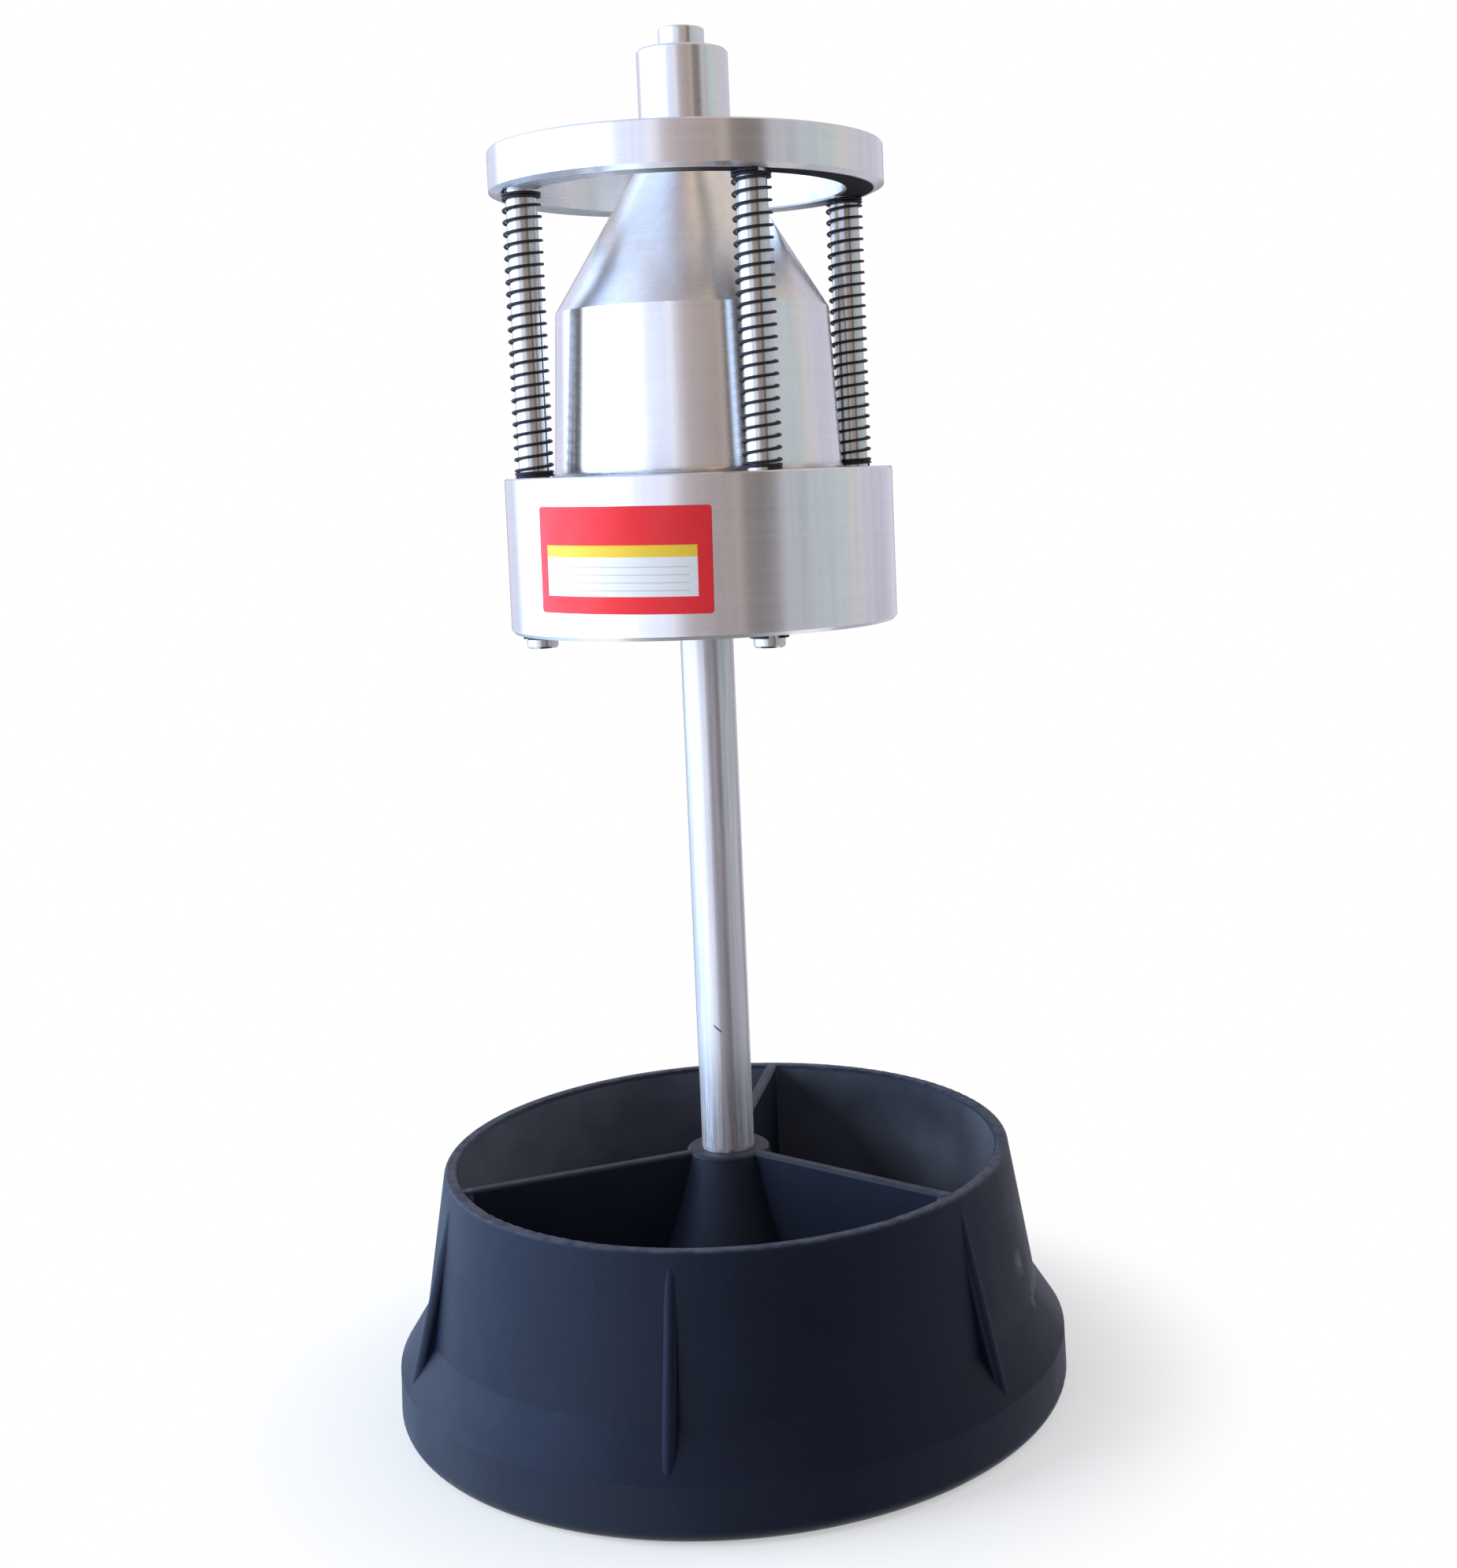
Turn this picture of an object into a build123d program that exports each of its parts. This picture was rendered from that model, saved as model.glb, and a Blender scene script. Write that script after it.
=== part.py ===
from build123d import *
from math import asin, cos, pi, radians, sin, sqrt, tan
import os

os.makedirs("parts", exist_ok=True)

# Bubble wheel balancer, lengths in millimetres.
# Z is the shaft's axis and the stand rests on Z = 0, with its front towards -Y.
# A wheel lies on the sprung ring, the ring sinks on its four rods, and the cone enters the
# hub hole and centres it. The head then swings on one ball, and the level shows the heavy side.

# Fits and clearances, each on the radius or on the face
seat_gap = 0.05
running_gap = 0.06
slide_gap = 0.08
coil_gap = 0.32
overrun = 5.0

# Shaft tube
shaft_radius = 9.525
shaft_wall = 1.6
shaft_edge_break = 0.5
shaft_length = 398.0

# Base moulding
base_height = 87.2
rim_radius = 102.5
lip_width = 4.7
lip_round = 1.3
skirt_spread = 8.8
knee_height = 34.5
knee_round = 12.0
flare_spread = 10.4
band_height = 19.0
band_draft = 0.5
flare_round = 8.0
foot_round = 4.4
skirt_skin = 3.2
tray_skin = 3.0
tray_draft = 1.3
channel_least = 2.6
floor_top = 13.5
floor_skin = 3.5
floor_round = 4.0
hub_radius = 15.2
hub_round = 1.6
hub_waist_radius = 20.2
hub_waist_height = 68.0
hub_low_radius = 27.6
hub_low_height = 50.0
hub_flare_round = 22.0
hub_skin = 3.6
boss_wall = 4.6
core_least = 2.4
socket_floor = 6.0
socket_bottom = 22.0
web_count = 3
web_thickness = 4.6
web_azimuth = -41.0
web_edge_round = 1.2
gusset_count = 6
gusset_azimuth = -101.0
gusset_top = 85.0
gusset_foot = 21.1
gusset_sink = 0.25
gusset_thickness = 4.9
gusset_crest_round = 2.35
gusset_depth = 9.0

# Bolt that holds the shaft to the base
bolt_radius = 5.0
bolt_head_flats = 17.0
bolt_head_height = 6.4
bolt_length_in_plug = 16.0
washer_radius = 15.0
washer_thickness = 2.5
plug_height = 24.0

# Pivot at the shaft's top
pivot_rise = 32.0
ball_radius = 5.0
post_radius = 6.0
post_flange = 3.0
post_spigot = 18.0
post_rim_drop = 2.0
cup_rim_rise = 1.5
cup_height = 12.4
cup_edge_break = 0.5
cup_clip_thickness = 1.2
cup_clip_width = 2.4
cup_clip_groove = 1.0
cup_clip_gap_angle = 36.0
clip_ear_radius = 1.9
clip_ear_hole = 0.7

# Head casting: drum, skirt, cone and neck in one turned piece
drum_radius = 68.9
drum_height = 54.5
drum_bottom_chamfer = 1.3
drum_edge_break = 0.5
skirt_foot_radius = 51.1
skirt_foot_round = 2.4
shoulder_radius = 48.4
skirt_height = 57.1
shoulder_drop = 61.0
cone_half_angle = 31.5
neck_radius = 16.05
neck_edge_break = 0.8
head_wall = 5.5
cavity_mouth_radius = 48.0
cavity_draft = 1.0
neck_bore_radius = 13.0
neck_bore_drop = 30.0
neck_web = 7.74
level_pocket_depth = 8.0

# Bull's-eye level
level_radius = 8.07
level_height = 15.6
level_edge_round = 0.8
level_wall = 1.3
level_rim = 0.9
vial_wall = 0.8
vial_depth = 6.2
vial_crown = 0.5
backing_thickness = 0.8

# Lift ring and its four guide rods
ring_radius = 69.5
ring_passing_gap = 4.4
ring_rise = 98.1
ring_height = 15.4
ring_skirt_chamfer_width = 2.8
ring_skirt_chamfer_height = 1.3
ring_edge_break = 0.6
rod_count = 4
rod_circle_radius = 60.5
rod_azimuth = -69.5
rod_radius = 5.35
rod_protrusion = 4.3
rod_end_chamfer = 0.7
rod_clip_radius = 6.6
rod_clip_thickness = 1.0
rod_clip_groove = 0.6
rod_clip_mouth = 5.6
screw_radius = 2.0
screw_head_radius = 4.2
screw_depth_in_rod = 14.0
screw_socket_flats = 2.5
screw_socket_depth = 2.0
screw_hole_clearance = 0.25
countersink_angle = 90.0
ring_travel = 60.0

# Compression springs round the rods
spring_wire = 1.2
spring_active_turns = 23
spring_end_turns = 1
spring_end_pitch = 1.7

# Heights up the shaft that several pieces share, and the places of the rods
shaft_top = socket_bottom + shaft_length
pivot_height = shaft_top + pivot_rise
shoulder_height = pivot_height - shoulder_drop
drum_top = shoulder_height - skirt_height
drum_bottom = drum_top - drum_height
ring_bottom = drum_top + ring_rise
rod_azimuths = [rod_azimuth + 360 * i / rod_count for i in range(rod_count)]
rod_places = [
    (rod_circle_radius * cos(radians(a)), rod_circle_radius * sin(radians(a))) for a in rod_azimuths
]


def turned(*corners):
    """The face whose turning about Z makes a piece, from its (radius, height) corners."""
    with BuildSketch(Plane.XZ) as outline:
        with BuildLine():
            Polyline(*corners, close=True)
        make_face()
    return outline.sketch


# Base: one black moulding with an outer skirt, a tray in three parts and a coned hub
def skirt_radius_at(height):
    """Radius of the skirt's straight wall at a height."""
    return rim_radius + (base_height - height) * skirt_slope


knee_radius = rim_radius + skirt_spread
band_radius = knee_radius + flare_spread
skirt_slope = skirt_spread / (base_height - knee_height)
band_top_radius = band_radius - band_draft
tray_radius = rim_radius - lip_width
tray_floor_radius = tray_radius - tray_draft
socket_radius = shaft_radius + seat_gap
boss_radius = socket_radius + boss_wall
bolt_hole_radius = bolt_radius + screw_hole_clearance
washer_seat = socket_bottom - socket_floor
hub_slope = (hub_low_radius - hub_waist_radius) / (hub_waist_height - hub_low_height)
hub_foot_radius = hub_low_radius + (hub_low_height - floor_top) * hub_slope
floor_bottom = floor_top - floor_skin
channel_inner_radius = tray_radius + tray_skin
channel_roof_radius = channel_inner_radius + channel_least
channel_top = base_height - (channel_roof_radius + skirt_skin - rim_radius) / skirt_slope
core_radius = boss_radius + core_least
core_top = hub_low_height + (hub_low_radius - core_radius - hub_skin) / hub_slope
core_foot_radius = hub_foot_radius - hub_skin + floor_skin * hub_slope
foot_inner_radius = band_radius - foot_round - skirt_skin

with BuildPart() as base:
    with BuildSketch(Plane.XZ):
        with BuildLine():
            Polyline(
                (0, 0),
                (band_radius, 0),
                (band_top_radius, band_height),
                (knee_radius, knee_height),
                (rim_radius, base_height),
                (0, base_height),
                close=True,
            )
        make_face()
        foot_corner, band_corner, knee_corner = vertices().sort_by(Axis.X)[-1:-4:-1]
        fillet(foot_corner, radius=foot_round)
        fillet(band_corner, radius=flare_round)
        fillet(knee_corner, radius=knee_round)
        fillet(vertices().group_by(Axis.Y)[-1].sort_by(Axis.X)[-1], radius=lip_round)
    revolve(axis=Axis.Z)

    # Six gussets: slim ribs whose straight, round crest dies out in the wall at both ends
    flare_slope = (band_top_radius - knee_radius) / (knee_height - band_height)
    crest_foot_radius = knee_radius + (knee_height - gusset_foot) * flare_slope - gusset_sink
    crest_top_radius = skirt_radius_at(gusset_top) - gusset_sink
    crest_run = crest_foot_radius - crest_top_radius
    crest_rise = gusset_top - gusset_foot
    crest_length = sqrt(crest_run**2 + crest_rise**2)
    for i in range(gusset_count):
        turn = radians(gusset_azimuth + 360 * i / gusset_count)
        crest_start = Vector(crest_top_radius * cos(turn), crest_top_radius * sin(turn), gusset_top)
        crest_way = Vector(crest_run * cos(turn), crest_run * sin(turn), -crest_rise)
        crest_plane = Plane(origin=crest_start, x_dir=(-sin(turn), cos(turn), 0), z_dir=crest_way)
        with BuildSketch(crest_plane):
            with Locations((0, -gusset_depth / 2)):
                Rectangle(gusset_thickness, gusset_depth)
            fillet(vertices().group_by(Axis.Y)[-1], radius=gusset_crest_round)
        extrude(amount=crest_length)

    # Tray: the ring of space between the hub's cone and the tray wall
    with BuildSketch(Plane.XZ):
        with BuildLine():
            CenterArc(
                (hub_radius - hub_round, base_height - hub_round), hub_round, start_angle=0, arc_size=90
            )
            ThreePointArc(
                (hub_radius, base_height - hub_round),
                (hub_waist_radius, hub_waist_height),
                (hub_low_radius, hub_low_height),
            )
            Polyline(
                (hub_low_radius, hub_low_height),
                (hub_foot_radius, floor_top),
                (tray_floor_radius, floor_top),
                (tray_radius, base_height - lip_round),
            )
            CenterArc(
                (tray_radius + lip_round, base_height - lip_round), lip_round, start_angle=180, arc_size=-90
            )
            Polyline(
                (tray_radius + lip_round, base_height),
                (tray_radius + lip_round, base_height + overrun),
                (hub_radius - hub_round, base_height + overrun),
                (hub_radius - hub_round, base_height),
            )
        make_face()
        low_corners = vertices().group_by(Axis.Y)[0].sort_by(Axis.X)
        fillet(low_corners[0], radius=hub_flare_round)
        fillet(low_corners[-1], radius=floor_round)
    revolve(axis=Axis.Z, mode=Mode.SUBTRACT)
    web_start = hub_radius - hub_round
    web_end = tray_radius + lip_width / 2
    for i in range(web_count):
        turn = radians(web_azimuth + 360 * i / web_count)
        web_plane = Plane(
            origin=(web_start * cos(turn), web_start * sin(turn), floor_bottom),
            x_dir=(-sin(turn), cos(turn), 0),
            z_dir=(cos(turn), sin(turn), 0),
        )
        web_rise = base_height - floor_bottom
        with BuildSketch(web_plane):
            with Locations((0, web_rise / 2)):
                Rectangle(web_thickness, web_rise)
            fillet(vertices().group_by(Axis.Y)[-1], radius=web_edge_round)
        extrude(amount=web_end - web_start)

    # Underside: one hollow under the floor that reaches up between the skins and into the hub
    revolve(
        turned(
            (0, -overrun),
            (foot_inner_radius, -overrun),
            (foot_inner_radius, 0),
            (band_top_radius - skirt_skin, foot_round),
            (band_top_radius - skirt_skin, band_height),
            (knee_radius - skirt_skin, knee_height - skirt_skin / 2),
            (channel_roof_radius, channel_top),
            (channel_inner_radius, channel_top),
            (channel_inner_radius, floor_bottom),
            (core_foot_radius, floor_bottom),
            (core_radius, core_top),
            (boss_radius, core_top),
            (boss_radius, washer_seat),
            (0, washer_seat),
        ),
        axis=Axis.Z,
        mode=Mode.SUBTRACT,
    )
    with BuildSketch(Plane.XY.offset(socket_bottom)):
        Circle(socket_radius)
    extrude(amount=base_height - socket_bottom + overrun, mode=Mode.SUBTRACT)
    with BuildSketch(Plane.XY.offset(washer_seat - overrun)):
        Circle(bolt_hole_radius)
    extrude(amount=socket_floor + 2 * overrun, mode=Mode.SUBTRACT)
base.part.label = "base"
export_step(base.part, "parts/base.step")

# Shaft: a plain steel tube that stands on the socket's floor
with BuildPart() as shaft:
    with BuildSketch(Plane.XY.offset(socket_bottom)):
        Circle(shaft_radius)
        Circle(shaft_radius - shaft_wall, mode=Mode.SUBTRACT)
    extrude(amount=shaft_top - socket_bottom)
    chamfer(edges().filter_by(GeomType.CIRCLE).group_by(SortBy.RADIUS)[-1], length=shaft_edge_break)
shaft.part.label = "shaft"
export_step(shaft.part, "parts/shaft.step")

# Foot plug: pressed into the tube's lower end and tapped for the bolt
plug_radius = shaft_radius - shaft_wall - seat_gap
with BuildPart() as shaft_foot_plug:
    with BuildSketch(Plane.XY.offset(socket_bottom)):
        Circle(plug_radius)
        Circle(bolt_radius + seat_gap, mode=Mode.SUBTRACT)
    extrude(amount=plug_height)
    chamfer(edges().group_by(Axis.Z)[-1].sort_by(SortBy.RADIUS)[-1], length=shaft_edge_break)
shaft_foot_plug.part.label = "shaft_foot_plug"
export_step(shaft_foot_plug.part, "parts/shaft_foot_plug.step")

# Washer and hex bolt under the hub
with BuildPart() as shaft_washer:
    with BuildSketch(Plane.XY.offset(washer_seat - washer_thickness)):
        Circle(washer_radius)
        Circle(bolt_hole_radius, mode=Mode.SUBTRACT)
    extrude(amount=washer_thickness)
shaft_washer.part.label = "shaft_washer"
export_step(shaft_washer.part, "parts/shaft_washer.step")

bolt_seat = washer_seat - washer_thickness
bolt_corner_radius = bolt_head_flats / 2 / cos(radians(30))
with BuildPart() as shaft_bolt:
    with BuildSketch(Plane.XY.offset(bolt_seat - bolt_head_height)):
        RegularPolygon(radius=bolt_head_flats / 2, side_count=6, major_radius=False)
    extrude(amount=bolt_head_height)
    crown_height = (bolt_corner_radius - bolt_head_flats / 2) * tan(radians(30))
    revolve(
        turned(
            (0, bolt_seat - bolt_head_height),
            (bolt_head_flats / 2, bolt_seat - bolt_head_height),
            (bolt_corner_radius, bolt_seat - bolt_head_height + crown_height),
            (bolt_corner_radius, bolt_seat),
            (0, bolt_seat),
        ),
        axis=Axis.Z,
        mode=Mode.INTERSECT,
    )
    with BuildSketch(Plane.XY.offset(bolt_seat)):
        Circle(bolt_radius)
    extrude(amount=washer_thickness + socket_floor + bolt_length_in_plug)
    chamfer(edges().group_by(Axis.Z)[-1], length=shaft_edge_break)
shaft_bolt.part.label = "shaft_bolt"
export_step(shaft_bolt.part, "parts/shaft_bolt.step")

# Pivot post: a spigot in the tube's top, a flange on its end and a cupped stem under the ball
post_top = pivot_height - post_rim_drop
socket_sphere_radius = ball_radius + running_gap
post_mouth_radius = sqrt(socket_sphere_radius**2 - post_rim_drop**2)
with BuildPart() as pivot_post:
    revolve(
        turned(
            (0, shaft_top - post_spigot),
            (plug_radius - shaft_edge_break, shaft_top - post_spigot),
            (plug_radius, shaft_top - post_spigot + shaft_edge_break),
            (plug_radius, shaft_top),
            (shaft_radius, shaft_top),
            (shaft_radius, shaft_top + post_flange - shaft_edge_break),
            (shaft_radius - shaft_edge_break, shaft_top + post_flange),
            (post_radius, shaft_top + post_flange),
            (post_radius, post_top - shaft_edge_break),
            (post_radius - shaft_edge_break, post_top),
            (0, post_top),
        ),
        axis=Axis.Z,
    )
    with Locations((0, 0, pivot_height)):
        Sphere(socket_sphere_radius, mode=Mode.SUBTRACT)
pivot_post.part.label = "pivot_post"
export_step(pivot_post.part, "parts/pivot_post.step")

# Pivot ball: a loose hardened ball between the post and the cup
with BuildPart() as pivot_ball:
    with Locations((0, 0, pivot_height)):
        Sphere(ball_radius)
pivot_ball.part.label = "pivot_ball"
export_step(pivot_ball.part, "parts/pivot_ball.step")

# Pivot cup: a hardened button that turns in the neck's bore and sits on the ball
cup_radius = neck_bore_radius - running_gap
cup_bottom = pivot_height + cup_rim_rise
cup_top = cup_bottom + cup_height
with BuildPart() as pivot_cup:
    revolve(
        turned(
            (0, cup_bottom),
            (cup_radius - cup_edge_break, cup_bottom),
            (cup_radius, cup_bottom + cup_edge_break),
            (cup_radius, cup_top - cup_edge_break),
            (cup_radius - cup_edge_break, cup_top),
            (0, cup_top),
        ),
        axis=Axis.Z,
    )
    with Locations((0, 0, pivot_height)):
        Sphere(socket_sphere_radius, mode=Mode.SUBTRACT)
pivot_cup.part.label = "pivot_cup"
export_step(pivot_cup.part, "parts/pivot_cup.step")

# Head casting: cone, skirt and drum with their hollow, the neck with its bore and pocket
neck_bore_top = cup_top + running_gap
neck_bore_bottom = pivot_height - neck_bore_drop
level_pocket_floor = neck_bore_top + neck_web
neck_top = level_pocket_floor + level_pocket_depth
cup_clip_top = cup_bottom - running_gap
cup_clip_bottom = cup_clip_top - cup_clip_thickness
groove_radius = neck_bore_radius + cup_clip_groove
cone_slope = tan(radians(cone_half_angle))
neck_bottom = shoulder_height + (shoulder_radius - neck_radius) / cone_slope
cone_wall = head_wall / cos(radians(cone_half_angle))
inner_shoulder_radius = shoulder_radius - head_wall
inner_shoulder_height = shoulder_height - (cone_wall - head_wall) / cone_slope
bore_mouth_radius = neck_radius + (neck_bottom - neck_bore_bottom) * cone_slope - cone_wall
cavity_top_radius = cavity_mouth_radius - cavity_draft
inner_skirt_foot_radius = skirt_foot_radius - head_wall
rod_hole_radius = rod_radius + slide_gap
with BuildPart() as head_casting:
    with BuildSketch(Plane.XZ):
        with BuildLine():
            Polyline(
                (cavity_mouth_radius, drum_bottom),
                (drum_radius - drum_bottom_chamfer, drum_bottom),
                (drum_radius, drum_bottom + drum_bottom_chamfer),
                (drum_radius, drum_top - drum_edge_break),
                (drum_radius - drum_edge_break, drum_top),
                (skirt_foot_radius, drum_top),
                (shoulder_radius, shoulder_height),
                (neck_radius, neck_bottom),
                (neck_radius, neck_top - neck_edge_break),
                (neck_radius - neck_edge_break, neck_top),
                (level_radius + seat_gap, neck_top),
                (level_radius + seat_gap, level_pocket_floor),
                (0, level_pocket_floor),
                (0, neck_bore_top),
                (neck_bore_radius, neck_bore_top),
                (neck_bore_radius, cup_clip_top),
                (groove_radius, cup_clip_top),
                (groove_radius, cup_clip_bottom),
                (neck_bore_radius, cup_clip_bottom),
                (neck_bore_radius, neck_bore_bottom),
                (bore_mouth_radius, neck_bore_bottom),
                (inner_shoulder_radius, inner_shoulder_height),
                (inner_skirt_foot_radius, drum_top),
                (cavity_top_radius, drum_top - head_wall),
                close=True,
            )
        make_face()
        skirt_foot = vertices().sort_by(
            lambda corner: abs(corner.X - skirt_foot_radius) + abs(corner.Y - drum_top)
        )[0]
        fillet(skirt_foot, radius=skirt_foot_round)
    revolve(axis=Axis.Z)
    with BuildSketch(Plane.XY.offset(drum_bottom - overrun)):
        with Locations(*rod_places):
            Circle(rod_hole_radius)
    extrude(amount=drum_top - drum_bottom + 2 * overrun, mode=Mode.SUBTRACT)
head_casting.part.label = "head_casting"
export_step(head_casting.part, "parts/head_casting.step")

# Cup circlip: an open spring ring with two eared ends, snapped into the bore's groove
with BuildPart() as cup_circlip:
    clip_outer = groove_radius - seat_gap
    clip_inner = clip_outer - cup_clip_width
    ear_turn = radians(cup_clip_gap_angle / 2) + asin(clip_ear_radius / clip_inner)
    with BuildSketch(Plane.XY.offset(cup_clip_bottom)):
        Circle(clip_outer)
        Circle(clip_inner, mode=Mode.SUBTRACT)
        with BuildLine():
            Polyline(
                (0, 0),
                (2 * clip_outer, -2 * clip_outer * tan(radians(cup_clip_gap_angle / 2))),
                (2 * clip_outer, 2 * clip_outer * tan(radians(cup_clip_gap_angle / 2))),
                close=True,
            )
        make_face(mode=Mode.SUBTRACT)
        ear_places = [
            (clip_inner * cos(side * ear_turn), clip_inner * sin(side * ear_turn)) for side in (-1, 1)
        ]
        with Locations(*ear_places):
            Circle(clip_ear_radius)
        with Locations(*ear_places):
            Circle(clip_ear_hole, mode=Mode.SUBTRACT)
    extrude(amount=cup_clip_thickness - running_gap)
cup_circlip.part.label = "cup_circlip"
export_step(cup_circlip.part, "parts/cup_circlip.step")

# Level: a turned housing that stands out of the neck and holds the vial
level_bottom = level_pocket_floor
level_top = level_bottom + level_height
well_radius = level_radius - level_wall
well_floor = level_top - level_rim - vial_depth - backing_thickness
with BuildPart() as level_housing:
    with BuildSketch(Plane.XY.offset(level_bottom)):
        Circle(level_radius)
    extrude(amount=level_height)
    fillet(edges().group_by(Axis.Z)[-1], radius=level_edge_round)
    with BuildSketch(Plane.XY.offset(well_floor)):
        Circle(well_radius)
    extrude(amount=level_top - well_floor + overrun, mode=Mode.SUBTRACT)
level_housing.part.label = "level_housing"
export_step(level_housing.part, "parts/level_housing.step")

with BuildPart() as level_backing:
    with BuildSketch(Plane.XY.offset(well_floor)):
        Circle(well_radius - seat_gap)
    extrude(amount=backing_thickness)
level_backing.part.label = "level_backing"
export_step(level_backing.part, "parts/level_backing.step")

# Vial: a clear cup turned mouth down on the backing, with a crowned inside
vial_radius = well_radius - seat_gap
vial_bottom = well_floor + backing_thickness
vial_top = vial_bottom + vial_depth
fluid_radius = vial_radius - vial_wall
crown_edge = vial_top - vial_wall - vial_crown
crown_sphere_radius = (fluid_radius**2 + vial_crown**2) / (2 * vial_crown)


def vial_space(radius):
    """The face whose turning about Z is the crowned space inside the vial, out to a radius."""
    with BuildSketch(Plane.XZ) as space:
        with BuildLine():
            crown = ThreePointArc(
                (0, crown_edge + vial_crown),
                (
                    radius / 2,
                    crown_edge
                    + vial_crown
                    - crown_sphere_radius
                    + sqrt(crown_sphere_radius**2 - radius**2 / 4),
                ),
                (
                    radius,
                    crown_edge
                    + vial_crown
                    - crown_sphere_radius
                    + sqrt(crown_sphere_radius**2 - radius**2),
                ),
            )
            Polyline(crown @ 1, (radius, vial_bottom), (0, vial_bottom), crown @ 0)
        make_face()
    return space.sketch


with BuildPart() as level_vial:
    with BuildSketch(Plane.XY.offset(vial_bottom)):
        Circle(vial_radius)
    extrude(amount=vial_depth)
    revolve(vial_space(fluid_radius), axis=Axis.Z, mode=Mode.SUBTRACT)
level_vial.part.label = "level_vial"
export_step(level_vial.part, "parts/level_vial.step")

with BuildPart() as level_fluid:
    revolve(vial_space(fluid_radius - seat_gap), axis=Axis.Z)
level_fluid.part.label = "level_fluid"
export_step(level_fluid.part, "parts/level_fluid.step")

# Lift ring: the wheel rests on its top, and a screw goes down through it into each rod
ring_top = ring_bottom + ring_height
rod_top = ring_bottom
rod_foot = drum_bottom - rod_protrusion
ring_bore_radius = skirt_foot_radius + ring_passing_gap
screw_hole_radius = screw_radius + screw_hole_clearance
countersink_depth = (screw_head_radius - screw_radius) / tan(radians(countersink_angle / 2))
with BuildPart() as lift_ring:
    revolve(
        turned(
            (ring_bore_radius + ring_edge_break, ring_bottom),
            (ring_radius - ring_skirt_chamfer_width, ring_bottom),
            (ring_radius, ring_bottom + ring_skirt_chamfer_height),
            (ring_radius, ring_top - ring_edge_break),
            (ring_radius - ring_edge_break, ring_top),
            (ring_bore_radius + ring_edge_break, ring_top),
            (ring_bore_radius, ring_top - ring_edge_break),
            (ring_bore_radius, ring_bottom + ring_edge_break),
        ),
        axis=Axis.Z,
    )
    with Locations(*[(x, y, ring_top) for x, y in rod_places]):
        CounterSinkHole(
            radius=screw_hole_radius,
            counter_sink_radius=screw_head_radius + seat_gap,
            depth=ring_height + overrun,
            counter_sink_angle=countersink_angle,
        )
lift_ring.part.label = "lift_ring"
export_step(lift_ring.part, "parts/lift_ring.step")

# Ring screws: countersunk, with a hex socket
with BuildPart() as ring_screws:
    for x, y in rod_places:
        with BuildSketch(Plane.XZ.offset(-y)):
            with BuildLine():
                Polyline(
                    (x, ring_top),
                    (x + screw_head_radius, ring_top),
                    (x + screw_radius, ring_top - countersink_depth),
                    (x + screw_radius, rod_top - screw_depth_in_rod + shaft_edge_break),
                    (x + screw_radius - shaft_edge_break, rod_top - screw_depth_in_rod),
                    (x, rod_top - screw_depth_in_rod),
                    close=True,
                )
            make_face()
        revolve(axis=Axis((x, y, 0), (0, 0, 1)))
    with BuildSketch(Plane.XY.offset(ring_top - screw_socket_depth)):
        with Locations(*rod_places):
            RegularPolygon(radius=screw_socket_flats / 2, side_count=6, major_radius=False)
    extrude(amount=screw_socket_depth + overrun, mode=Mode.SUBTRACT)
ring_screws.part.label = "ring_screws"
export_step(ring_screws.part, "parts/ring_screws.step")

# Guide rods: they hang from the ring, slide through the drum and end in a grooved tip
rod_clip_top = drum_bottom - seat_gap
rod_clip_bottom = rod_clip_top - rod_clip_thickness
rod_groove_radius = rod_radius - rod_clip_groove
for number, (x, y) in enumerate(rod_places, start=1):
    with BuildPart() as guide_rod:
        with BuildSketch(Plane.XY.offset(rod_foot)):
            with Locations((x, y)):
                Circle(rod_radius)
        extrude(amount=rod_top - rod_foot)
        chamfer(edges().group_by(Axis.Z)[0], length=rod_end_chamfer)
        with BuildSketch(Plane.XY.offset(rod_clip_bottom - seat_gap)):
            with Locations((x, y)):
                Circle(rod_radius + overrun)
                Circle(rod_groove_radius, mode=Mode.SUBTRACT)
        extrude(amount=rod_clip_thickness + 2 * seat_gap, mode=Mode.SUBTRACT)
        with BuildSketch(Plane.XY.offset(rod_top - screw_depth_in_rod - seat_gap)):
            with Locations((x, y)):
                Circle(screw_radius + seat_gap)
        extrude(amount=screw_depth_in_rod + overrun, mode=Mode.SUBTRACT)
    guide_rod.part.label = f"guide_rod_{number}"
    export_step(guide_rod.part, f"parts/guide_rod_{number}.step")

# Rod circlips: open rings in the rods' grooves that stop the ring's upward travel
with BuildPart() as rod_circlips:
    for (x, y), azimuth in zip(rod_places, rod_azimuths):
        clip_plane = Plane(
            origin=(x, y, rod_clip_bottom), x_dir=(cos(radians(azimuth)), sin(radians(azimuth)), 0)
        )
        with BuildSketch(clip_plane):
            Circle(rod_clip_radius)
            Circle(rod_groove_radius + seat_gap, mode=Mode.SUBTRACT)
            with Locations((rod_clip_radius, 0)):
                Rectangle(2 * rod_clip_radius, rod_clip_mouth, mode=Mode.SUBTRACT)
        extrude(amount=rod_clip_thickness)
rod_circlips.part.label = "rod_circlips"
export_step(rod_circlips.part, "parts/rod_circlips.step")


# Springs: right-handed coils, each turn in two half turns of two tangent arcs
def half_turn(start, start_way, end, end_way):
    """Two tangent arcs from start to end that leave and arrive along the given ways."""
    across = end - start
    both = start_way + end_way
    apart = 2 * (1 - start_way.dot(end_way))
    along = across.dot(both)
    reach = (sqrt(along**2 + apart * across.dot(across)) - along) / apart
    joint = (start + end + (start_way - end_way) * reach) / 2
    joint_way = (end - end_way * reach) - (start + start_way * reach)
    TangentArc(start, joint, tangent=start_way)
    TangentArc(joint, end, tangent=joint_way)


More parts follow.
